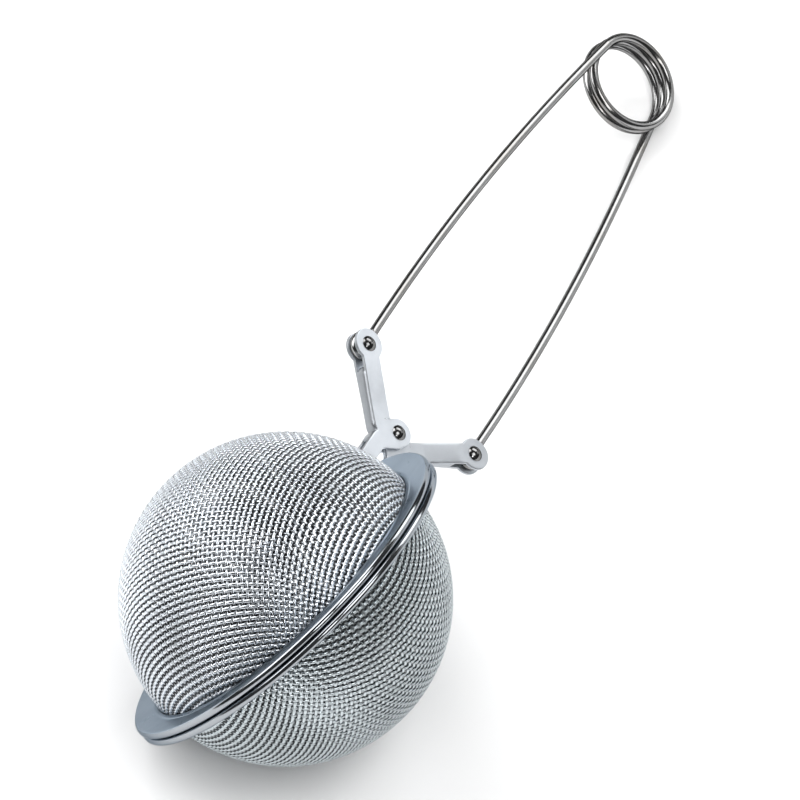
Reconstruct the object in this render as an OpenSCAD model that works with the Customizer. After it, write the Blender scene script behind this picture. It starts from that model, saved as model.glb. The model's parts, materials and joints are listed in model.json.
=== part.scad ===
// Snap-ball tea infuser: two half balls of woven wire on a pair of pivoted arms,
// opened by squeezing a spring-wire handle that ends in a coil.
// Every part is drawn in the handle's own frame: origin on the centre pivot, X the way
// the upper half opens, Y along the pivots, Z up the handle. lying() then sets the whole
// infuser down on a table, where it rests on its lower rim, lower half ball and coil.

/* [Ball] */
// Outer diameter of the mesh ball
ball_d = 50; // [46:1:56]
// Thickness of the woven cloth
cloth_t = 0.6; // [0.5:0.05:0.8]
// Distance from the centre pivot to the middle of the ball
ball_drop = 39; // [37:0.5:42]

/* [Rims] */
// Width of each rim outside the mesh
rim_w = 4.6; // [4.2:0.1:6]
// Diameter of the rolled bead at the edge of each rim
bead_d = 1.2; // [0.9:0.05:1.3]
// Thickness of the flat part of each rim
flange_t = 0.75; // [0.7:0.05:0.85]
// Sheet thickness of the rims
hem_t = 0.22; // [0.2:0.02:0.26]
// Width of the cloth's brim held inside the hem
brim_w = 2.4; // [1.5:0.1:3]
// Gap between the two closed rims
rim_gap = 0.2; // [0.1:0.02:0.3]

/* [Arms] */
// Distance from the centre pivot to each handle joint
arm_l = 14.3; // [13:0.1:16]
// Angle of each handle joint from the handle's centre line
arm_angle = 55.4; // [50:0.2:60]
// Width of the arms
arm_w = 3.2; // [2.8:0.1:3.4]
// Thickness of the folded arms
arm_t = 1.1; // [1:0.05:1.2]
// Thickness of the ears and of the lobes
ear_t = 0.5; // [0.45:0.05:0.6]
// Radius of the ears round the handle joints
ear_r = 2.6; // [2.4:0.1:2.8]
// Radius of the lobes round the centre pivot
lobe_r = 2.3; // [2:0.1:2.4]

/* [Handle] */
// Wire diameter
wire_d = 1.4; // [1.2:0.1:1.5]
// Distance from the centre pivot to the middle of the coil
handle_l = 85; // [70:1:90]
// Diameter of the coil along the middle of its wire
coil_d = 14; // [12:0.5:16]
// Gap between neighbouring turns of the coil
turn_gap = 0.12; // [0.1:0.01:0.2]
// Half the bend of each bowed leg
leg_bow = 5; // [3:0.5:6]

/* [Rivets] */
// Diameter of the rivets' shanks
shank_d = 1.3; // [1.2:0.05:1.4]
// Diameter of the rivets' heads
head_d = 2.4; // [2.2:0.1:2.6]
// Height of the rivets' heads
head_h = 0.6; // [0.5:0.05:0.8]

/* [Hidden] */

// Ball and rims, as radii from the ball's centre and heights above the parting plane
ball_r = ball_d / 2;
low = rim_gap / 2;
brim_z = low + hem_t;
brim_t = flange_t - 2 * hem_t;
flange_z = low + flange_t;
lip_gap = 0.15;
rim_r = ball_r + rim_w;
bead_r = bead_d / 2;
bead_circle_r = rim_r - bead_r;

// Arm outline in the X-Z plane: a bar from the handle joint to the knee, then a tail
joint = arm_l * [sin(arm_angle), cos(arm_angle)];
tail_in = 0.7;
tail_out = 3.4;
knee = [(tail_in + tail_out) / 2, -1.9];
bar_angle = atan2(joint.x - knee.x, joint.y - knee.y);
along = [sin(bar_angle), cos(bar_angle)];
across = [cos(bar_angle), -sin(bar_angle)];
outer_end = joint + across * arm_w / 2;
inner_end = joint - across * arm_w / 2;
outer_corner = outer_end - along * (outer_end.x - tail_out) / along.x;
inner_foot = inner_end - along * (inner_end * along);
web_angle = 217;
web_start = lobe_r * [cos(web_angle), sin(web_angle)];
web_end_z = -4.4;

// Feet of the arms, which stand on the rims inside their beads
bead_clear = 0.15;
rim_top_z = rim_r - ball_drop;
over_bead_z = rim_top_z + bead_clear;
over_bead_x = low + bead_d + bead_clear;
foot_top_z = rim_top_z - bead_d - bead_clear;
foot_end_z = ball_r + 0.4 - ball_drop;
foot_w = 5;
tail_taper = 1;

// Forks, lobes and bores
side_gap = 0.08;
bore_gap = 0.05;
shank_r = shank_d / 2;
wire_r = wire_d / 2;
ear_in = wire_r + side_gap;
ear_out = ear_in + ear_t;
ear_slot_r = ear_r + 0.5;
fork_l = ear_slot_r + 1.4;
lobe_in = arm_t / 2 + side_gap;
lobe_out = lobe_in + ear_t;
lobe_slot_r = lobe_r + 0.7;
knee_r = 5.2;
cut_l = 10;

// Eyes of the handle; the upper one floats round its rivet, so that the linkage moves freely
lower_eye_r = shank_r + 0.06 + wire_r;
upper_eye_r = shank_r + 0.4 + wire_r;

// Coil, from the upper leg at the front to the lower leg at the back
coil_r = coil_d / 2;
turns = 2.5;
pitch = wire_d + turn_gap;
coil_half_w = pitch * turns / 2;
leg_drop = handle_l - joint.y;
chord_angle = acos(coil_r * cos(leg_bow) / norm([joint.x, leg_drop])) - atan2(leg_drop, joint.x);
lead_angle = chord_angle + leg_bow;
splice_angle = 1.2;
coil_start = lead_angle + splice_angle;
coil_stop = 360 * turns - lead_angle;
coil_rings = 74;
coil_sides = 10;
coil_angles = [for (i = [0 : coil_rings]) coil_start + (coil_stop - coil_start) * i / coil_rings];
function coil_point(a) = [coil_r * cos(a), coil_half_w - pitch * a / 360, handle_l + coil_r * sin(a)];
function wire_point(a, b) =
    coil_point(a) + wire_r * [cos(a) * cos(b), sin(b), sin(a) * cos(b)];

// Legs, each an arc of a large circle from its eye to the coil
leg_line = coil_point(lead_angle) - [joint.x, 0, joint.y];
leg_chord = norm(leg_line);
leg_r = leg_chord / (2 * sin(leg_bow));

// Rest on the table: up_dir is the table's normal, seen in the handle's frame
contact_x = low + bead_r;
up_x = sin(acos((ball_r - bead_r) / norm([bead_circle_r, contact_x]))
    + atan2(contact_x, bead_circle_r));
function up_y(z) = sqrt(1 - up_x * up_x - z * z);
function up_z(steps) = steps == 0 ? 0 : let (z = up_z(steps - 1))
    (coil_r * norm([up_x, z]) + coil_half_w * up_y(z) + wire_r - ball_r) / (handle_l + ball_drop);
lean = up_z(8);
up_dir = [up_x, up_y(lean), lean];
roll = atan2(up_dir.x, up_dir.y);
slope = -asin(lean);
head_dir = ([0, 0, 1] - up_dir * lean) / cos(slope);
side_dir = cross(up_dir, head_dir);
ball_centre = [0, 0, -ball_drop];
coil_reach = max([for (a = coil_angles) coil_point(a) * head_dir]) + wire_r;
rim_reach = bead_circle_r * norm([head_dir.y, head_dir.z]) + bead_r + head_dir.x * contact_x
    - ball_centre * head_dir;
rest_shift = [(rim_reach - coil_reach) / 2, -(ball_centre * side_dir),
    ball_r - ball_centre * up_dir];

$fn = 72;

// Lays the infuser, drawn in the handle's frame, down on the table
module lying() {
    translate(rest_shift) rotate([0, slope, 0]) rotate([90, 0, 90]) rotate([0, 0, roll]) children();
}

// A solid of thickness t, centred on the X-Z plane, from an outline in X and Z
module slab(t) {
    rotate([90, 0, 0]) linear_extrude(t, center = true) children();
}

// A profile of radius and height turned about the ball's axis, the opening direction
module turned() {
    translate(ball_centre) rotate([0, 90, 0]) rotate_extrude() children();
}

// Half ball of woven cloth with its flat brim
module mesh_bowl() {
    turned() {
        intersection() {
            difference() {
                circle(ball_r);
                circle(ball_r - cloth_t);
            }
            translate([0, brim_z]) square(ball_r);
        }
        translate([ball_r - cloth_t, brim_z]) square([cloth_t + brim_w, brim_t]);
    }
}

// Pressed ring hemmed over the brim, with its rolled bead
module rim_ring() {
    turned() difference() {
        union() {
            translate([ball_r - cloth_t, low]) square([bead_circle_r - ball_r + cloth_t, flange_t]);
            translate([bead_circle_r, low + bead_r]) circle(bead_r);
        }
        translate([0, brim_z]) square([ball_r + brim_w, brim_t]);
        translate([0, brim_z]) square([ball_r + lip_gap, flange_t]);
    }
}

// Outline of an arm: bar, knee, lobe round the pivot, and tail down to the rim
module arm_outline() {
    circle(lobe_r);
    polygon([outer_corner, outer_end, inner_end, inner_foot, web_start, [tail_in, web_end_z],
        [tail_in, over_bead_z], [over_bead_x, over_bead_z], [over_bead_x, foot_top_z],
        [flange_z, foot_top_z], [flange_z, foot_end_z], [tail_out - tail_taper, foot_end_z],
        [tail_out, rim_top_z]]);
}

// Outline of the ears at the handle joint and the neck that joins them to the bar
module fork_outline() {
    translate(joint) {
        circle(ear_r);
        rotate(-bar_angle) translate([-arm_w / 2, -fork_l]) square([arm_w, fork_l]);
    }
}

// Foot of an arm, flat on the rim
module foot() {
    translate([flange_z, -foot_w / 2, foot_end_z]) cube([ear_t, foot_w, foot_top_z - foot_end_z]);
}

// The room for the handle's eye between the ears, and the rivet's bore through them
module fork_cuts() {
    translate([joint.x, 0, joint.y]) rotate([90, 0, 0]) {
        cylinder(h = 2 * ear_in, r = ear_slot_r, center = true);
        cylinder(h = cut_l, r = shank_r, center = true);
    }
}

// Arm with a single lobe, the one that holds the centre rivet
module inner_arm() {
    difference() {
        union() {
            slab(arm_t) arm_outline();
            slab(2 * ear_out) fork_outline();
            foot();
        }
        fork_cuts();
        rotate([90, 0, 0]) cylinder(h = cut_l, r = shank_r, center = true);
    }
}

// Arm with two lobes, which straddle the other arm and turn on the centre rivet
module outer_arm() {
    difference() {
        union() {
            slab(arm_t) arm_outline();
            slab(2 * lobe_out) intersection() {
                arm_outline();
                circle(knee_r);
            }
            slab(2 * ear_out) fork_outline();
            foot();
        }
        fork_cuts();
        rotate([90, 0, 0]) cylinder(h = 2 * lobe_in, r = lobe_slot_r, center = true);
        translate([-cut_l, -lobe_in, -knee_r]) cube([cut_l + tail_in, 2 * lobe_in, knee_r]);
        rotate([90, 0, 0]) cylinder(h = cut_l, r = shank_r + bore_gap, center = true);
    }
}

// Rivet along Y with a dome at each end; grip is half the thickness between its heads
module rivet(grip) {
    head_r = head_d / 2;
    dome_r = (head_r * head_r + head_h * head_h) / (2 * head_h);
    rotate([90, 0, 0]) rotate_extrude() {
        translate([0, -grip]) square([shank_r, 2 * grip]);
        for (side = [0, 1]) mirror([0, side]) intersection() {
            translate([0, grip + head_h - dome_r]) circle(dome_r);
            translate([0, grip]) square([head_r, head_h]);
        }
    }
}

// Leg on the +X side: an eye round the handle joint and a bowed wire up to the coil
module leg(eye_r) {
    eye_trim = eye_r / leg_r * 180 / PI;
    translate([joint.x, 0, joint.y]) {
        rotate([90, 0, 0]) rotate_extrude() translate([eye_r, 0]) circle(wire_r);
        rotate([-asin(leg_line.y / leg_chord), atan2(leg_line.x, leg_line.z), 0])
            rotate([90, 0, 0]) translate([-leg_r * cos(leg_bow), leg_chord / 2])
                rotate(eye_trim - leg_bow) rotate_extrude(angle = 2 * leg_bow - eye_trim)
                    translate([leg_r, 0]) circle(wire_r);
    }
}

module lower_mesh() {
    color("silver") lying() mirror([1, 0, 0]) mesh_bowl();
}

module upper_mesh() {
    color("silver") lying() mesh_bowl();
}

module lower_rim() {
    color("lightslategray") lying() mirror([1, 0, 0]) rim_ring();
}

module upper_rim() {
    color("lightslategray") lying() rim_ring();
}

module lower_arm() {
    color("lightgray") lying() mirror([1, 0, 0]) inner_arm();
}

module upper_arm() {
    color("lightgray") lying() outer_arm();
}

module pivot_rivet() {
    color("dimgray") lying() rivet(lobe_out + bore_gap);
}

module lower_handle_rivet() {
    color("dimgray") lying() translate([-joint.x, 0, joint.y]) rivet(ear_out);
}

module upper_handle_rivet() {
    color("dimgray") lying() translate([joint.x, 0, joint.y]) rivet(ear_out);
}

module lower_leg() {
    color("gray") lying() rotate([0, 0, 180]) leg(lower_eye_r);
}

module upper_leg() {
    color("gray") lying() leg(upper_eye_r);
}

module handle_coil() {
    points = [for (a = coil_angles) for (k = [1 : coil_sides]) wire_point(a, 360 * k / coil_sides)];
    sides = [for (i = [0 : coil_rings - 1]) for (k = [0 : coil_sides - 1])
        let (n = (k + 1) % coil_sides, m = i * coil_sides)
        [m + k, m + coil_sides + k, m + coil_sides + n, m + n]];
    start_cap = [for (k = [0 : coil_sides - 1]) k];
    stop_cap = [for (k = [coil_sides - 1 : -1 : 0]) coil_rings * coil_sides + k];
    color("gray") lying() polyhedron(points, concat([start_cap], sides, [stop_cap]), convexity = 8);
}

lower_mesh();
lower_rim();
lower_arm();
pivot_rivet();
lower_handle_rivet();
lower_leg();
handle_coil();
upper_leg();
upper_mesh();
upper_rim();
upper_arm();
upper_handle_rivet();
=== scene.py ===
import json
import math

import bpy
import numpy as np
from mathutils import Matrix, Vector


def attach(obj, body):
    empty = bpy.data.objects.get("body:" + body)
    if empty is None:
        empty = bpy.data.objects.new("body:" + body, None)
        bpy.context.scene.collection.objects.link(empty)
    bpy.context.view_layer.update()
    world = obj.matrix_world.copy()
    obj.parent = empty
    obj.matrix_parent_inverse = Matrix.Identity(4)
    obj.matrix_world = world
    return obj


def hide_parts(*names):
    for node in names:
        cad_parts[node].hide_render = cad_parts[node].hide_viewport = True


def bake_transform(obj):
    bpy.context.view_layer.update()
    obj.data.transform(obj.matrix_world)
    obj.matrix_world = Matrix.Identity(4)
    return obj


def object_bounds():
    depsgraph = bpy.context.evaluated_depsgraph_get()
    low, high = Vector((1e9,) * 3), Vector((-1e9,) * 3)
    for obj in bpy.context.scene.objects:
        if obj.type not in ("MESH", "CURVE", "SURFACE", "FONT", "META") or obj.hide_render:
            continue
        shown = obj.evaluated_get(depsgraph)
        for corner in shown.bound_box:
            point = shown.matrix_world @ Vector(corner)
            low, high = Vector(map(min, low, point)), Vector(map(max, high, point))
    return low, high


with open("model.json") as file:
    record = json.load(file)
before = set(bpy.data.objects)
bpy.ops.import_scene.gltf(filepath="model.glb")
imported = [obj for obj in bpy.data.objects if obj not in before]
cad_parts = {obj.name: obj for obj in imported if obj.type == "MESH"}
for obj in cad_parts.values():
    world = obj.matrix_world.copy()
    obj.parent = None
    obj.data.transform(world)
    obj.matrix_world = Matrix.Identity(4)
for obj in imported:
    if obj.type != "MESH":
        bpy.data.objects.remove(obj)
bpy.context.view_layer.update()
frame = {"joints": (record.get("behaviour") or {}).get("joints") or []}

# ---------------------------------------------------------------- the handle's own frame, in mm
# Origin on the centre pivot, X the way the upper half opens, Y along the pivots, Z up the handle.
MM = 0.001
joints = {j["name"]: j for j in frame["joints"]}
pivot = Vector(joints["jaw_hinge"]["pos_m"])
coil_centre = Vector(joints["handle_flex"]["pos_m"])
y_axis = Vector(joints["handle_flex"]["axis"]).normalized()
z_axis = (coil_centre - pivot).normalized()
x_axis = y_axis.cross(z_axis)
AXES = np.array([x_axis, y_axis, z_axis])
HANDLE_L = (coil_centre - pivot).length / MM
# the lower handle joint is at -JOINT[0], JOINT[1] in X and Z, and the upper one mirrors it
lower_joint = AXES @ (np.array(joints["lower_leg_hinge"]["pos_m"]) - np.array(pivot)) / MM
JOINT = np.array([-lower_joint[0], lower_joint[2]])


def row(points):
    """Points in the handle's frame in mm, as points in the frame's own axes in metres."""
    return np.array(pivot) + MM * (np.asarray(points, float) @ AXES)


# ---------------------------------------------------------------- sizes, in mm
# Ball and rims: LOW is where a rim starts above the parting plane, FLANGE where its top is
BALL_R = 25.0
BALL_DROP = 39.0
BALL_CENTRE = [0, 0, -BALL_DROP]
LOW = 0.1
FLANGE = 0.85
HEM = 0.22
BEAD_R = 0.6
BEAD_CIRCLE = 29.0
BEAD_TOP = LOW + 2 * BEAD_R
RIM_STEPS = 320
# Woven cloth: flat wires that swing CRIMP in and out, and LIFT more where they are the proud ones
PITCH = 0.85
WIRE_HALF_W = 0.28
WIRE_HALF_T = 0.11
CRIMP = 0.07
LIFT = 0.04
CLOTH_R = BALL_R - WIRE_HALF_T - CRIMP - LIFT
CLOTH_END = 0.42
LOWER_TURN = math.radians(-17)
# Arms: MID is how far a plate's middle stands from the arm's middle plane
ARM_W = 3.2
SHEET = 0.5
EAR_R = 2.5
EAR_MID = 1.03
LOBE_R = 2.3
LOBE_MID = 0.88
BODY_MID = 0.285
# Handle wire
HANDLE_WIRE_R = 0.7
COIL_R = 7.0
COIL_PITCH = 1.52
COIL_TURNS = 2.5
LEG_BOW = math.radians(5)
UPPER_EYE_R = 1.75
LOWER_EYE_R = 1.41


# ---------------------------------------------------------------- shader nodes
NOISE_ROUGH = 0.55
WHITE = (1, 1, 1)
COOL = (0.95, 1.0, 1.06)
WARM = (1.04, 1.0, 0.95)


def grey(v, tint=WHITE):
    return tuple(v * t for t in tint)


def node_material(name, base, rough, metal=1.0, edge=WHITE):
    """A new material, its nodes and its shader, with the even values set on the shader's own sockets."""
    material = bpy.data.materials.new(name)
    material.use_nodes = True
    shader = material.node_tree.nodes["Principled BSDF"]
    shader.inputs["Base Color"].default_value = (*base, 1)
    shader.inputs["Roughness"].default_value = rough
    shader.inputs["Metallic"].default_value = metal
    shader.inputs["Specular Tint"].default_value = (*edge, 1)
    return material, material.node_tree, shader


def noise(tree, scale, detail, stretch=(1, 1, 1)):
    """Noise over the object's own coordinates, drawn out along an axis by stretch."""
    where = tree.nodes.new("ShaderNodeTexCoord")
    drawn = tree.nodes.new("ShaderNodeMapping")
    drawn.inputs["Scale"].default_value = stretch
    n = tree.nodes.new("ShaderNodeTexNoise")
    n.inputs["Scale"].default_value = scale
    n.inputs["Detail"].default_value = detail
    n.inputs["Roughness"].default_value = NOISE_ROUGH
    tree.links.new(where.outputs["Object"], drawn.inputs["Vector"])
    tree.links.new(drawn.outputs["Vector"], n.inputs["Vector"])
    return n.outputs["Fac"]


def ramp(tree, value, *stops):
    """A colour ramp over value; stops are (position, colour)."""
    r = tree.nodes.new("ShaderNodeValToRGB")
    while len(r.color_ramp.elements) < len(stops):
        r.color_ramp.elements.new(0.5)
    for element, (at, colour) in zip(r.color_ramp.elements, stops):
        element.position = at
        element.color = (*colour, 1)
    tree.links.new(value, r.inputs["Fac"])
    return r.outputs["Color"]


def spread(tree, value, low, high, start=0.3, stop=0.7):
    """value from start..stop mapped to low..high and held there beyond them."""
    r = tree.nodes.new("ShaderNodeMapRange")
    r.inputs["From Min"].default_value = start
    r.inputs["From Max"].default_value = stop
    r.inputs["To Min"].default_value = low
    r.inputs["To Max"].default_value = high
    tree.links.new(value, r.inputs["Value"])
    return r.outputs["Result"]


def arithmetic(tree, operation, *values):
    """One or two values, each a number or a socket, through one operation."""
    m = tree.nodes.new("ShaderNodeMath")
    m.operation = operation
    for socket, v in zip(m.inputs, values):
        if isinstance(v, (int, float)):
            socket.default_value = v
        else:
            tree.links.new(v, socket)
    return m.outputs["Value"]


def mixed(tree, value, a, b):
    """Colour a where value is 0 and b where it is 1; each is a colour or a socket."""
    m = tree.nodes.new("ShaderNodeMix")
    m.data_type = "RGBA"
    tree.links.new(value, m.inputs["Factor"])
    # the node's inputs 6 and 7 and its output 2 are the ones for colours
    for socket, c in zip((m.inputs[6], m.inputs[7]), (a, b)):
        if isinstance(c, tuple):
            socket.default_value = (*c, 1)
        else:
            tree.links.new(c, socket)
    return m.outputs[2]


def ball_reach(tree):
    """Distance from the middle of the ball, in metres."""
    where = tree.nodes.new("ShaderNodeTexCoord")
    reach = tree.nodes.new("ShaderNodeVectorMath")
    reach.operation = "DISTANCE"
    reach.inputs[1].default_value = row(BALL_CENTRE)
    tree.links.new(where.outputs["Object"], reach.inputs[0])
    return reach.outputs["Value"]


def painted_light_level(tree):
    """A mesh's painted light, from 0 where painted shade makes it dark to 1 where it is left bright; less than
    0 counts as 0.
    """
    a = tree.nodes.new("ShaderNodeAttribute")
    a.attribute_name = "painted_light"
    return spread(tree, a.outputs["Fac"], 0, 1, 0, 1)


def colour(tree, shader, value):
    tree.links.new(value, shader.inputs["Base Color"])


def roughness(tree, shader, value):
    tree.links.new(value, shader.inputs["Roughness"])


def bump(tree, shader, value, distance, strength):
    b = tree.nodes.new("ShaderNodeBump")
    b.inputs["Strength"].default_value = strength
    b.inputs["Distance"].default_value = distance
    tree.links.new(value, b.inputs["Height"])
    tree.links.new(b.outputs["Normal"], shader.inputs["Normal"])


# ---------------------------------------------------------------- materials
def cloth_steel(name, level, tint):
    """Drawn wire with painted shade: its crowns are coloured bright, and its flanks and the places where it
    crosses under are coloured dark.
    """
    recess, flank = 0.1, 0.45
    material, tree, shader = node_material(name, grey(level, tint), 0.3, edge=grey(0.7))
    crowns = ramp(tree, noise(tree, 90, 3), (0.3, grey(0.88 * level, tint)),
                  (0.5, grey(level, tint)), (0.7, grey(1.08 * level, tint)))
    # painted shade: the wire is coloured darker on its flanks, near the cloth's middle surface, and dark where
    # its painted light is low
    proud = arithmetic(tree, "ABSOLUTE", arithmetic(tree, "SUBTRACT", ball_reach(tree), CLOTH_R * MM))
    flanks = spread(tree, proud, flank, 1, 0.01 * MM, 0.09 * MM)
    bright = arithmetic(tree, "MULTIPLY", flanks, painted_light_level(tree))
    colour(tree, shader, mixed(tree, bright, grey(recess, tint), crowns))
    roughness(tree, shader, spread(tree, noise(tree, 420, 3), 0.2, 0.3))
    bump(tree, shader, noise(tree, 9000, 2), 0.02 * MM, 0.3)
    return material


def make_rim_steel():
    """Pressed sheet, dull and bluish on the flat and polished on the outer half of the bead."""
    blue = (0.9, 1.0, 1.1)
    material, tree, shader = node_material("rim_steel", grey(0.42, blue), 0.26, edge=grey(0.4, blue))
    bead = spread(tree, ball_reach(tree), 0, 1, 29.22 * MM, 29.34 * MM)
    flat = ramp(tree, noise(tree, 60, 5), (0.3, grey(0.4, (0.88, 1.0, 1.13))),
                (0.7, grey(0.52, (0.9, 1.0, 1.11))))
    colour(tree, shader, mixed(tree, bead, flat, grey(0.4, COOL)))
    roughness(tree, shader, mixed(tree, bead, spread(tree, noise(tree, 300, 4), 0.26, 0.38), grey(0.1)))
    bump(tree, shader, noise(tree, 2500, 3), 0.02 * MM, 0.3)
    return material


def make_arm_steel():
    """Bright folded sheet with painted shade: darker on its fold and the bevel beside it, and on the lower
    arm, where its painted light is low.
    """
    material, tree, shader = node_material("arm_steel", grey(0.85, COOL), 0.34, edge=grey(0.8))
    plates = ramp(tree, noise(tree, 180, 5), (0.3, grey(0.76, COOL)), (0.55, grey(0.88, COOL)),
                  (0.75, grey(0.93, COOL)))
    # painted shade: where the painted light is 0 the sheet is coloured near black
    colour(tree, shader, mixed(tree, painted_light_level(tree), grey(0.11, COOL), plates))
    roughness(tree, shader, spread(tree, noise(tree, 900, 4), 0.28, 0.42))
    bump(tree, shader, noise(tree, 2500, 3, (1, 1, 0.12)), 0.02 * MM, 0.2)
    return material


def make_rivet_steel():
    material, tree, shader = node_material("rivet_steel", grey(0.22), 0.12, edge=grey(0.1))
    colour(tree, shader, ramp(tree, noise(tree, 700, 4), (0.3, grey(0.16)), (0.7, grey(0.28))))
    roughness(tree, shader, spread(tree, noise(tree, 1500, 3), 0.08, 0.2))
    return material


def make_wire_steel():
    """Bright drawn spring wire that turns dark towards its edges."""
    material, tree, shader = node_material("handle_wire", grey(0.32), 0.13, edge=grey(0.02))
    colour(tree, shader, ramp(tree, noise(tree, 120, 5), (0.3, grey(0.27, WARM)), (0.5, grey(0.32)),
                              (0.7, grey(0.38))))
    roughness(tree, shader, spread(tree, noise(tree, 500, 3), 0.13, 0.2))
    bump(tree, shader, noise(tree, 5000, 3), 0.01 * MM, 0.15)
    return material


def make_floor_paint():
    material, tree, shader = node_material("floor_paper", grey(0.88), 0.7, metal=0.0)
    colour(tree, shader, ramp(tree, noise(tree, 3, 3), (0.3, grey(0.86)), (0.7, grey(0.9))))
    return material


upper_cloth = cloth_steel("woven_wire", 0.78, COOL)
# painted shade: the lower half's cloth is a darker, cooler copy of the upper half's
lower_cloth = cloth_steel("woven_wire_shaded", 0.62, (0.92, 1.0, 1.04))
rim_steel = make_rim_steel()
arm_steel = make_arm_steel()
rivet_steel = make_rivet_steel()
wire_steel = make_wire_steel()
floor_paint = make_floor_paint()


# ---------------------------------------------------------------- building pieces
def piece(name, points, faces, material, body, slot, *nodes, painted_light=None):
    """A mesh from points in the handle's frame in mm, riding on a body in place of CAD nodes."""
    mesh = bpy.data.meshes.new(name)
    mesh.from_pydata(row(points).tolist(), [], faces)
    mesh.validate()
    mesh.materials.append(material)
    mesh.polygons.foreach_set("use_smooth", [True] * len(mesh.polygons))
    # painted light: the attribute by which a material paints shade where it is low
    if painted_light is not None:
        mesh.attributes.new("painted_light", "FLOAT", "POINT").data.foreach_set("value", painted_light)
    mesh.update()
    o = bpy.data.objects.new(name, mesh)
    bpy.context.scene.collection.objects.link(o)
    if body:
        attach(o, body)
    if nodes:
        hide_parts(*nodes)
    return o


def smooth(x):
    """A soft step from 0 to 1 as x goes from 0 to 1."""
    x = np.clip(x, 0, 1)
    return x * x * (3 - 2 * x)


def unit(v):
    """v, or each row of v, at length 1."""
    v = np.asarray(v, float)
    return v / np.linalg.norm(v, axis=-1, keepdims=True)


def circle(count):
    """Even angles round a circle."""
    return np.arange(count) * 2 * math.pi / count


def flipped(faces):
    return [f[::-1] for f in faces]


def grid_faces(rows, columns, first=0):
    """Quads between rings of points, from the point number first on."""
    faces = []
    for i in range(rows - 1):
        a = first + i * columns
        b = a + columns
        for k in range(columns):
            n = (k + 1) % columns
            faces.append((a + k, a + n, b + n, b + k))
    return faces


def capped_faces(rows, columns, first=0):
    """Quads between rings of points, and a face across each end."""
    last = first + (rows - 1) * columns
    caps = [tuple(first + k for k in range(columns))[::-1], tuple(last + k for k in range(columns))]
    return grid_faces(rows, columns, first) + caps


def rings(path, radius, sides, up):
    """Rings of points round a path; up is a direction kept close to each ring's first point."""
    tangent = unit(np.gradient(path, axis=0))
    normal = np.empty_like(path)
    n = np.asarray(up, float)
    for i, d in enumerate(tangent):
        n = unit(n - d * (n @ d))
        normal[i] = n
    side = np.cross(tangent, normal)
    a = circle(sides)[None, :, None]
    return path[:, None] + radius * (np.cos(a) * normal[:, None] + np.sin(a) * side[:, None])


def tube(path, radius, sides, up):
    """Points and faces of a round wire along a path, closed at both ends by faces with their own points."""
    loop = rings(path, radius, sides, up)
    count = len(loop)
    faces = grid_faces(count, sides)
    faces.append(tuple(count * sides + k for k in range(sides))[::-1])
    faces.append(tuple((count + 1) * sides + k for k in range(sides)))
    return np.concatenate([loop, loop[:1], loop[-1:]]).reshape(-1, 3), faces


def joined(parts):
    """Several (points, faces) as one."""
    points, faces, first = [], [], 0
    for p, f in parts:
        points.append(p)
        faces += [tuple(first + i for i in face) for face in f]
        first += len(p)
    return np.concatenate(points), faces


def lathe(profile, steps, centre, axis, sign=1):
    """A closed profile of (height, radius) turned about the X or Y axis through centre."""
    profile = np.asarray(profile, float)
    a = circle(steps)[:, None]
    height = np.broadcast_to(sign * profile[:, 0], (steps, len(profile)))
    across, up = profile[:, 1] * np.cos(a), profile[:, 1] * np.sin(a)
    order = {"x": (height, across, up), "y": (up, height, across)}[axis]
    points = np.stack(order, -1).reshape(-1, 3) + np.asarray(centre, float)
    n = len(profile)
    faces = []
    for i in range(steps):
        here, there = i * n, (i + 1) % steps * n
        for k in range(n):
            m = (k + 1) % n
            faces.append((here + k, there + k, there + m, here + m))
    return points, flipped(faces) if sign < 0 else faces


def rounded(corners, steps=5):
    """A closed outline with its corners rounded; corners are (x, y, radius)."""
    out = []
    for i, (x, y, r) in enumerate(corners):
        p = np.array([x, y], float)
        if r <= 0:
            out.append(p)
            continue
        before = unit(np.array(corners[i - 1][:2], float) - p)
        after = unit(np.array(corners[(i + 1) % len(corners)][:2], float) - p)
        half = math.acos(np.clip(before @ after, -1, 1)) / 2
        reach = r / math.tan(half)
        middle = p + unit(before + after) * r / math.sin(half)
        a, b = p + before * reach - middle, p + after * reach - middle
        out += [middle + unit(a * (1 - k / steps) + b * (k / steps)) * r for k in range(steps + 1)]
    return np.array(out)


# ---------------------------------------------------------------- woven half balls
# The cloth is a square weave pressed to a half ball. Seen as arcs from the pole it stays
# nearly square: threads spread along the meridians and bow in a little to the diagonals.
SPREAD = 0.365
BOW = 0.066
BOW_ROUNDS = 12
WIRE_SIDES = 6
WIRES_A_SIDE = 47
PER_THREAD = 2
SIDE_BAND = 0.45
CLOTH_EDGE = math.acos(CLOTH_END / CLOTH_R)


def on_ball(a, b):
    """Arc coordinates from the pole, in radians, of the cloth's point a, b in threads."""
    ua = np.tan(SPREAD * a * PITCH / CLOTH_R) / SPREAD
    ub = np.tan(SPREAD * b * PITCH / CLOTH_R) / SPREAD
    u, v = ua, ub
    for _ in range(BOW_ROUNDS):
        u, v = ua * (1 - BOW * v * v), ub * (1 - BOW * u * u)
    return u, v


def wire_stations(i):
    """Places along wire i of the cloth, in threads: two to a thread and one on the edge at each end."""
    b = np.arange(-WIRES_A_SIDE * PER_THREAD, WIRES_A_SIDE * PER_THREAD + 1) / PER_THREAD + 0.25
    rho = np.hypot(*on_ball(np.full_like(b, i + 0.5), b + 0.5))
    inside = np.flatnonzero(rho < CLOTH_EDGE)
    if len(inside) < 3:
        return None
    lo, hi = inside[0], inside[-1]
    start = lo - (CLOTH_EDGE - rho[lo]) / (rho[lo - 1] - rho[lo])
    stop = hi + (CLOTH_EDGE - rho[hi]) / (rho[hi + 1] - rho[hi])
    return np.interp([start, *range(lo, hi + 1), stop], np.arange(len(b)), b)


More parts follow.
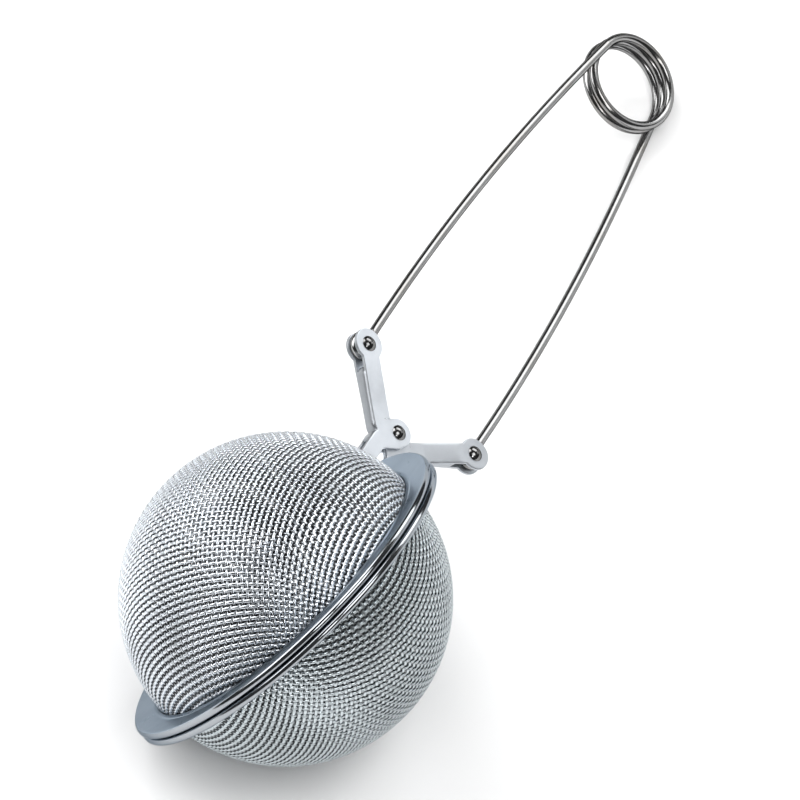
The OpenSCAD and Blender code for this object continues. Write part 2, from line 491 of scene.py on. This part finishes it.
def threads(turn, sign, cross):
    """Every wire of one direction of a half ball's cloth: points, faces and each point's painted light, which
    puts painted shade where the wire crosses under.
    """
    points, faces, painted_light, first = [], [], [], 0
    around = circle(WIRE_SIDES)[None, :, None]
    for i in range(-WIRES_A_SIDE, WIRES_A_SIDE + 1):
        b = wire_stations(i)
        if b is None:
            continue
        u, v = on_ball(np.full_like(b, i + 0.5), b + 0.5)
        # pulled tight down the sides, a wire shows only where it crosses over
        between = 1 - smooth((abs(v) - abs(u)) / SIDE_BAND)
        lift = LIFT * (smooth((abs(u) - abs(v)) / SIDE_BAND) - 1 + between)
        over = 1 - 2 * ((np.round(b) + i) % 2)
        if cross:
            u, v, over = v, u, -over
        rho, angle = np.hypot(u, v), np.arctan2(v, u) + turn
        out = np.stack([sign * np.cos(rho), np.sin(rho) * np.cos(angle), np.sin(rho) * np.sin(angle)], -1)
        path = out * (CLOTH_R + CRIMP * over + lift)[:, None]
        tangent = unit(np.gradient(path, axis=0))
        normal = unit(out - tangent * (out * tangent).sum(1)[:, None])
        side = np.cross(tangent, normal)
        loop = path[:, None] + (WIRE_HALF_T * np.cos(around) * normal[:, None]
                                + WIRE_HALF_W * np.sin(around) * side[:, None])
        points.append(loop.reshape(-1, 3) + BALL_CENTRE)
        # painted shade: where the wire passes under another, down the ball's sides, it is coloured dark
        painted_light.append(np.repeat(np.where(over > 0, 1, 2 * between - 1), WIRE_SIDES))
        faces += capped_faces(len(path), WIRE_SIDES, first)
        first += len(path) * WIRE_SIDES
    return np.concatenate(points), faces, np.concatenate(painted_light)


for half, sign, turn, material in (("upper", 1, 0.0, upper_cloth), ("lower", -1, LOWER_TURN, lower_cloth)):
    for name, cross in (("warp", False), ("weft", True)):
        points, faces, painted_light = threads(turn, sign, cross)
        piece(f"{half}_{name}", points, faces, material, f"{half}_half", "woven_wire", f"{half}_mesh",
              painted_light=painted_light)


# ---------------------------------------------------------------- rims
def rim_profile():
    """Section of a rim: hem over the cloth's brim, lip round the ball, flange and rolled bead."""
    hem_in, hem_out, lip_in = BALL_R - 0.55, BALL_R + 1.1, BALL_R + 0.16
    inner = rounded([
        (LOW, hem_in, 0.08),
        (LOW + HEM, hem_in, 0.08),
        (LOW + HEM, hem_out, 0),
        (FLANGE - HEM, hem_out, 0),
        (FLANGE - HEM, lip_in, 0.08),
        (FLANGE + 0.06, lip_in, 0.1),
        (FLANGE, BALL_R + 0.5, 0.2),
    ])
    rise = [(FLANGE, BALL_R + 1.0), (FLANGE + 0.02, BALL_R + 1.4)]
    # the bead rolls from the flange up and over to the parting plane
    bead = [(LOW + BEAD_R + BEAD_R * math.sin(a), BEAD_CIRCLE + BEAD_R * math.cos(a))
            for a in np.linspace(math.radians(100), math.radians(-100), 26)]
    tuck = [(LOW, BEAD_CIRCLE - 0.5)]
    return [tuple(p) for p in inner] + rise + bead + tuck


for half, sign in (("upper", 1), ("lower", -1)):
    points, faces = lathe(rim_profile(), RIM_STEPS, BALL_CENTRE, "x", sign)
    piece(f"{half}_rim_steel", points, faces, rim_steel, f"{half}_half", "rim_steel", f"{half}_rim")


# ---------------------------------------------------------------- arms
# An arm goes from its ear down a straight bar to its lobe on the pivot, and past it as a tail to the rim.
KNEE = np.array([2.05, -1.9])
ALONG = unit(JOINT - KNEE)
ACROSS = np.array([ALONG[1], -ALONG[0]])
TAIL_IN, TAIL_OUT, TAIL_TIP = 0.7, 3.4, 1.0
CORNER_RUN = 3.4
WEB_Z, HEEL_Z = -4.8, -5.6
TAIL_END = BALL_R + 0.4 - BALL_DROP
BEAD_CLEAR = 0.15
FOOT_TOP = BEAD_CIRCLE - BEAD_R - BALL_DROP - BEAD_CLEAR
OVER_BEAD = BEAD_TOP + BEAD_CLEAR
EAR_STATIONS, BAR_STATIONS, LOBE_STATIONS, WEB_STATIONS, TAIL_STATIONS = 26, 30, 34, 16, 12
FOLD_FIRST = EAR_STATIONS + 4
FOLD_LAST = EAR_STATIONS + BAR_STATIONS + LOBE_STATIONS + 5


def ear_edges():
    """Both edges of the ear, from its tip round to the bar."""
    neck = math.sqrt(EAR_R ** 2 - (ARM_W / 2) ** 2)
    outer, inner = [], []
    for d in np.linspace(0.06, math.pi / 2 + math.asin(neck / EAR_R), EAR_STATIONS):
        s, w = EAR_R * math.cos(d), EAR_R * math.sin(d)
        w = max(w, ARM_W / 2) if d > math.pi / 2 else w
        outer.append(JOINT + ALONG * s + ACROSS * w)
        inner.append(JOINT + ALONG * s - ACROSS * w)
    return outer, inner


def arm_edges():
    """The outer and the inner edge of an arm in X and Z, station by station from the ear's tip."""
    outer, inner = ear_edges()
    side = JOINT + ACROSS * ARM_W / 2
    corner = side - ALONG * (side[0] - TAIL_OUT) / ALONG[0]
    inner_line = JOINT - ACROSS * ARM_W / 2
    foot = inner_line - ALONG * (inner_line @ ALONG)
    meet = foot + ALONG * math.sqrt(LOBE_R ** 2 - foot @ foot)
    from_outer, from_inner = outer[-1], inner[-1]
    for t in np.linspace(0.03, 1, BAR_STATIONS):
        outer.append(from_outer * (1 - t) + (corner + ALONG * 1.9) * t)
        inner.append(from_inner * (1 - t) + (meet + ALONG * 0.35) * t)
    # the outer edge goes round the corner while the inner one goes round the lobe
    first, last = math.atan2(meet[1], meet[0]) + 0.1, math.radians(217)
    for t in np.linspace(0, 1, LOBE_STATIONS):
        way = (t - 0.5) * CORNER_RUN
        bend = ALONG * max(-way, 0) if way < 0 else np.array([0, -way])
        soft = 0.22 * math.exp(-(way / 0.5) ** 2)
        a = first * (1 - t) + last * t
        outer.append(corner + bend + soft * np.array([-0.9, 0.35]))
        inner.append(LOBE_R * np.array([math.cos(a), math.sin(a)]))
    base, web = outer[-1][1], inner[-1]
    for t in np.linspace(0.08, 1, WEB_STATIONS):
        outer.append(np.array([TAIL_OUT, base + (HEEL_Z - base) * t]))
        inner.append(np.array([web[0] + (TAIL_IN - web[0]) * smooth(t), web[1] + (WEB_Z - web[1]) * t]))
    for t in np.linspace(0.1, 1, TAIL_STATIONS):
        outer.append(np.array([TAIL_OUT - TAIL_TIP * smooth((t - 0.5) * 2), HEEL_Z + (TAIL_END - HEEL_Z) * t]))
        inner.append(np.array([TAIL_IN + (OVER_BEAD - TAIL_IN) * smooth((t - 0.2) * 4),
                               WEB_Z + (TAIL_END - WEB_Z) * t]))
    return np.array(outer), np.array(inner)


def splay(p, straddles):
    """How far an arm's plate stands from the arm's middle plane at p in X and Z."""
    wide, narrowing = 9.5, 6.4
    near = np.clip((wide - np.linalg.norm(p - JOINT, axis=-1)) / narrowing, 0, 1)
    body = LOBE_MID if straddles else BODY_MID
    return body + (EAR_MID - body) * near


def plate(side, straddles, outer, inner):
    """One plate of a folded arm: points, faces, and whether each point is off the outer edge's bevel."""
    half, bevel, columns, steps = SHEET / 2 + 0.01, 0.16, 15, 4
    width = np.linalg.norm(inner - outer, axis=1)
    over = unit(inner - outer)
    r = np.minimum(bevel, width * 0.4)
    flat = [k / (columns - 1) for k in range(columns)]
    quarter = [math.pi / 2 * k / steps for k in range(1, steps + 1)]

    def lower(a):
        return half - bevel + bevel * math.cos(a)

    loop = [(r + (width - 2 * r) * t, half) for t in flat]
    loop += [(width - r + r * math.sin(a), lower(a)) for a in quarter]
    loop += [(width - r + r * math.sin(a), -lower(a)) for a in quarter[::-1]]
    loop += [(width - r - (width - 2 * r) * t, -half) for t in flat]
    loop += [(r - r * math.sin(a), -lower(a)) for a in quarter]
    loop += [(r - r * math.sin(a), lower(a)) for a in quarter[::-1]]
    points = []
    for reach, y in loop:
        p = outer + over * reach[:, None]
        points.append(np.stack([p[:, 0], side * (splay(p, straddles) + y), p[:, 1]], -1))
    points = np.stack(points, 1)
    rows, n = points.shape[:2]
    faces = capped_faces(rows, n)
    face = np.tile(np.arange(n) < n - 2 * steps, rows)
    return points.reshape(-1, 3), flipped(faces) if side < 0 else faces, face


def fold(outer, straddles):
    """The fold along an arm's outer edge that joins its two plates."""
    inset, reach, sides, end_stations = 0.34, 0.5, 28, 3
    line = outer[FOLD_FIRST:FOLD_LAST]
    d = unit(np.gradient(line, axis=0))
    out = np.stack([-d[:, 1], d[:, 0]], -1)
    ends = np.minimum(np.arange(len(line)), np.arange(len(line))[::-1])
    swell = 0.4 + 0.6 * smooth(ends / end_stations)
    half = splay(line, straddles) + SHEET / 2 - 0.01
    points = []
    for angle in circle(sides):
        c, h = math.cos(angle), math.sin(angle)
        p = line - out * inset + out * (reach * math.copysign(abs(c) ** 0.5, c) * swell)[:, None]
        y = half * math.copysign(abs(h) ** 0.7, h) * swell
        points.append(np.stack([p[:, 0], y, p[:, 1]], -1))
    points = np.stack(points, 1)
    return points.reshape(-1, 3), capped_faces(len(line), sides)


def foot_plate():
    """The foot of an arm, flat on the rim inside the bead."""
    half = 2.5
    outline = rounded([(-half, TAIL_END, 0.8), (half, TAIL_END, 0.8),
                       (half, FOOT_TOP, 0.5), (-half, FOOT_TOP, 0.5)])
    centre = outline.mean(0)
    levels = [(FLANGE, 0.0), (FLANGE + 0.36, 0.0), (FLANGE + 0.46, 0.05), (FLANGE + SHEET, 0.16)]
    points = []
    for x, inset in levels:
        d = outline - centre
        q = centre + d * (1 - inset / np.abs(d).max())
        points.append(np.stack([np.full(len(q), x), q[:, 0], q[:, 1]], -1))
    return np.concatenate(points), capped_faces(len(levels), len(outline))


def arm(half, sign, straddles, face, edge):
    """A folded arm with painted shade: its plates' faces coloured to the level face, and its fold and outer
    edge's bevel to the level edge.
    """
    outer, inner = arm_edges()
    plates = [plate(side, straddles, outer, inner) for side in (1, -1)]
    bend, foot = fold(outer, straddles), foot_plate()
    points, faces = joined([part[:2] for part in plates] + [bend, foot])
    painted_light = [np.where(part[2], face, edge) for part in plates]
    painted_light += [np.full(len(bend[0]), edge), np.full(len(foot[0]), 1.0)]
    piece(f"{half}_arm_sheet", points * np.array([sign, 1, 1]), flipped(faces) if sign < 0 else faces,
          arm_steel, f"{half}_half", "arm_steel", f"{half}_arm", painted_light=np.concatenate(painted_light))


# painted shade: the lower arm's plates are coloured darker than the upper arm's, as shade from lying behind
# it, and each arm's fold darker still
arm("upper", 1, True, 1.0, 0.3)
arm("lower", -1, False, 0.72, 0.5)


# ---------------------------------------------------------------- rivets
def rivet(grip, x, z):
    """A rivet along Y with a domed head at each end."""
    head_r, head_h, shank = 1.22, 0.6, 0.65
    dome = (head_r ** 2 + head_h ** 2) / (2 * head_h)
    reach = math.asin(head_r / dome)
    top = [(grip + 0.02, shank), (grip + 0.01, head_r - 0.05), (grip + 0.05, head_r)]
    top += [(grip + 0.06 + head_h - dome + dome * math.cos(a), dome * math.sin(a) * 0.995)
            for a in np.linspace(reach, 0.02, 12)]
    profile = [(-h, r) for h, r in top[::-1]] + top
    return lathe(profile, 40, (x, 0, z), "y")


piece("pivot_rivet_steel", *rivet(LOBE_MID + SHEET / 2, 0, 0), rivet_steel, "lower_half", "rivet_steel",
      "pivot_rivet")
piece("upper_joint_rivet_steel", *rivet(EAR_MID + SHEET / 2, JOINT[0], JOINT[1]), rivet_steel, "upper_half",
      "rivet_steel", "upper_handle_rivet")
piece("lower_joint_rivet_steel", *rivet(EAR_MID + SHEET / 2, -JOINT[0], JOINT[1]), rivet_steel, "lower_half",
      "rivet_steel", "lower_handle_rivet")

# ---------------------------------------------------------------- wire handle
# LEAD is the angle round the coil at which a leg leaves it without a corner
HALF_COIL = COIL_PITCH * COIL_TURNS / 2
DROP = HANDLE_L - JOINT[1]
LEAD = (math.acos(COIL_R * math.cos(LEG_BOW) / math.hypot(JOINT[0], DROP))
        - math.atan2(DROP, JOINT[0]) + LEG_BOW)
HANDLE_SIDES = 20


def coil_point(a):
    return np.array([COIL_R * math.cos(a), HALF_COIL - COIL_PITCH * a / (2 * math.pi),
                     HANDLE_L + COIL_R * math.sin(a)])


def neck(a, leaving, b, arriving, count=10):
    """Points between a and b on a curve that leaves and arrives in the given directions."""
    gap = np.linalg.norm(b - a)
    points = []
    for t in np.linspace(0, 1, count)[1:-1]:
        near = 2 * t ** 3 - 3 * t ** 2 + 1
        points.append(a * near + b * (1 - near)
                      + leaving * gap * (t ** 3 - 2 * t ** 2 + t) + arriving * gap * (t ** 3 - t ** 2))
    return points


def leg_path(eye_r):
    """An open eye round the handle joint, then a bowed leg up to the front end of the coil."""
    start, stop = np.array([JOINT[0], 0, JOINT[1]]), coil_point(LEAD)
    length = np.linalg.norm(stop - start)
    d = unit(stop - start)
    out = unit(np.cross([0, 1, 0], d))
    radius = length / (2 * math.sin(LEG_BOW))
    way = math.atan2(d[2], d[0])
    eye = [start + eye_r * np.array([math.cos(way - a), 0, math.sin(way - a)])
           for a in np.linspace(math.radians(52), math.radians(330), 30)]
    bowed = []
    for t in np.linspace(eye_r * 2.1 / length, 1, 70):
        angle = (2 * t - 1) * LEG_BOW
        bowed.append(start + d * (length / 2 + radius * math.sin(angle))
                     + out * radius * (math.cos(angle) - math.cos(LEG_BOW)))
    between = neck(eye[-1], unit(eye[-1] - eye[-2]), bowed[0], unit(bowed[1] - bowed[0]))
    return np.array(eye + between + bowed)


def handle_wire(name, path, front, body, node):
    """A length of the handle's wire; front is the way along Y that its rings start from."""
    return piece(name, *tube(path, HANDLE_WIRE_R, HANDLE_SIDES, (0, front, 0)), wire_steel, body,
                 "handle_wire", node)


handle_wire("upper_leg_wire", leg_path(UPPER_EYE_R), 1, "upper_handle", "upper_leg")
handle_wire("lower_leg_wire", leg_path(LOWER_EYE_R) * np.array([-1, -1, 1]), -1, "lower_handle", "lower_leg")
coil = np.array([coil_point(a) for a in np.linspace(LEAD, 2 * math.pi * COIL_TURNS - LEAD, 220)])
coil_wire = handle_wire("coil_wire", coil, 1, None, "handle_coil")
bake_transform(coil_wire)

# ---------------------------------------------------------------- floor
bpy.context.view_layer.update()


def floor_grid(half, steps):
    """A square floor of steps by steps quads, half long each way from the origin, in metres."""
    mesh = bpy.data.meshes.new("floor")
    xs = np.linspace(-half, half, steps + 1)
    n = steps + 1
    corners = [j * n + i for j in range(steps) for i in range(steps)]
    mesh.from_pydata([(x, y, 0) for y in xs for x in xs], [], [(c, c + 1, c + n + 1, c + n) for c in corners])
    mesh.materials.append(floor_paint)
    return mesh


floor = bpy.data.objects.new("floor", floor_grid(6.0, 12))
bpy.context.scene.collection.objects.link(floor)
floor.location.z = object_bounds()[0].z

# ---------------------------------------------------------------- camera
# The camera's right and up in the handle's frame, the width it sees at the ball, and how far
# right and up its axis passes from the pivot, in mm
SEEN_RIGHT = np.array([-0.673, 0.611, 0.415])
SEEN_UP = np.array([0.700, 0.348, 0.623])
BACK = unit(np.cross(SEEN_RIGHT, SEEN_UP))
UP = unit(np.cross(BACK, SEEN_RIGHT))
RIGHT = np.cross(UP, BACK)
VIEW_W = 119.69
AIM_RIGHT, AIM_UP = 0.823, 5.311
LENS, SENSOR = 1500.0, 36.0

middle = RIGHT * AIM_RIGHT + UP * AIM_UP
distance = VIEW_W * LENS / SENSOR
camera_data = bpy.data.cameras.new("camera")
camera_data.lens = LENS
camera_data.sensor_width = SENSOR
camera_data.clip_start, camera_data.clip_end = 0.5, 30
camera = bpy.data.objects.new("camera", camera_data)
bpy.context.scene.collection.objects.link(camera)
facing = Matrix([(v @ AXES).tolist() for v in (RIGHT, UP, BACK)]).transposed()
camera.matrix_world = Matrix.Translation(Vector(row(middle + BACK * distance))) @ facing.to_4x4()
bpy.context.scene.camera = camera

# ---------------------------------------------------------------- light
CAMERA_RIGHT, CAMERA_UP, CAMERA_BACK = (Vector(v @ AXES) for v in (RIGHT, UP, BACK))
TARGET = Vector(row([0, 0, 5]))


def softbox(name, direction, distance, size, power):
    """An area light seen from the target along direction, given as camera right, up and back."""
    light = bpy.data.lights.new(name, "AREA")
    light.shape = "RECTANGLE"
    light.size, light.size_y = size
    light.energy = power
    o = bpy.data.objects.new(name, light)
    bpy.context.scene.collection.objects.link(o)
    o.visible_camera = False
    right, up, back = direction
    z = (CAMERA_RIGHT * right + CAMERA_UP * up + CAMERA_BACK * back).normalized()
    x = CAMERA_BACK.cross(z).normalized()
    turned = Matrix((x, z.cross(x), z)).transposed().to_4x4()
    o.matrix_world = Matrix.Translation(TARGET + z * distance) @ turned
    return o


# distances and sizes are in metres; sizes are across the camera's axis and away from it
softbox("key", (-0.61, 0.69, 0.4), 1.2, (1.5, 0.8), 15)
softbox("side", (0.87, 0.49, 0.02), 1.2, (0.6, 0.6), 1.1)
softbox("top", (0.45, 0.88, 0.1), 1.2, (0.8, 0.6), 5)
softbox("front", (0.42, 0.3, 0.86), 1.2, (0.6, 0.6), 4.2)
softbox("lens", (0.22, -0.1, 0.97), 1.2, (0.26, 0.26), 1.5)
fill = softbox("fill", (0, 0.2, 1), 2.5, (2.5, 2.5), 40)
fill.visible_glossy = False

world = bpy.data.worlds.new("studio")
bpy.context.scene.world = world
world.use_nodes = True
background = world.node_tree.nodes["Background"]
background.inputs["Color"].default_value = (0.95, 0.97, 1, 1)
background.inputs["Strength"].default_value = 0.06
bpy.context.scene.view_settings.view_transform = "Standard"
